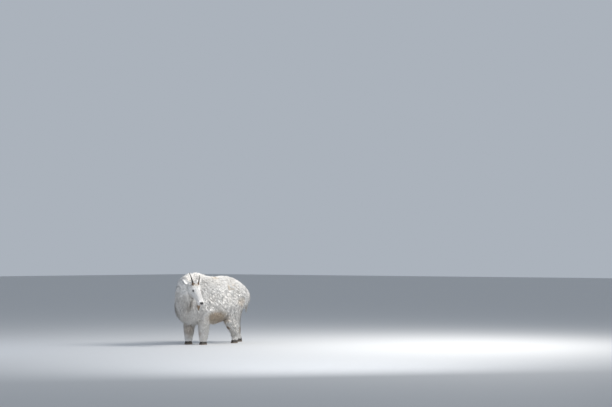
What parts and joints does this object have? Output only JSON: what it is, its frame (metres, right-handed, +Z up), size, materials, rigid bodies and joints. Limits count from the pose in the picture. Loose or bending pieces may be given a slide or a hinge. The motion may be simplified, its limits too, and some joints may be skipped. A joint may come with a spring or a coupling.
{
  "type": "mountain goat",
  "caption": "Life-size still model of a mountain goat with a long white coat, standing with its head turned to its left.",
  "frame": {"origin": "on the floor under the middle of the whole animal", "axes": "+Z up, the goat faces -Y and its left side is +X"},
  "size_m": [0.6984, 1.4274, 0.9672],
  "materials": {
    "coat": "matte",
    "beard_hair": "matte",
    "horn": "satin",
    "hoof": "satin",
    "eye": "gloss"
  },
  "bodies": {
    "root": {"torso": "coat", "neck": "coat", "head": "coat", "beard": "beard_hair", "tail": "coat", "ear_left": "coat", "ear_right": "coat", "eye_left": "eye", "eye_right": "eye", "horn_left": "horn", "horn_right": "horn", "foreleg_left": "coat", "foreleg_right": "coat", "hindleg_left": "coat", "hindleg_right": "coat", "forehoof_left": "hoof", "forehoof_right": "hoof", "hindhoof_left": "hoof", "hindhoof_right": "hoof"}
  },
  "joints": []
}
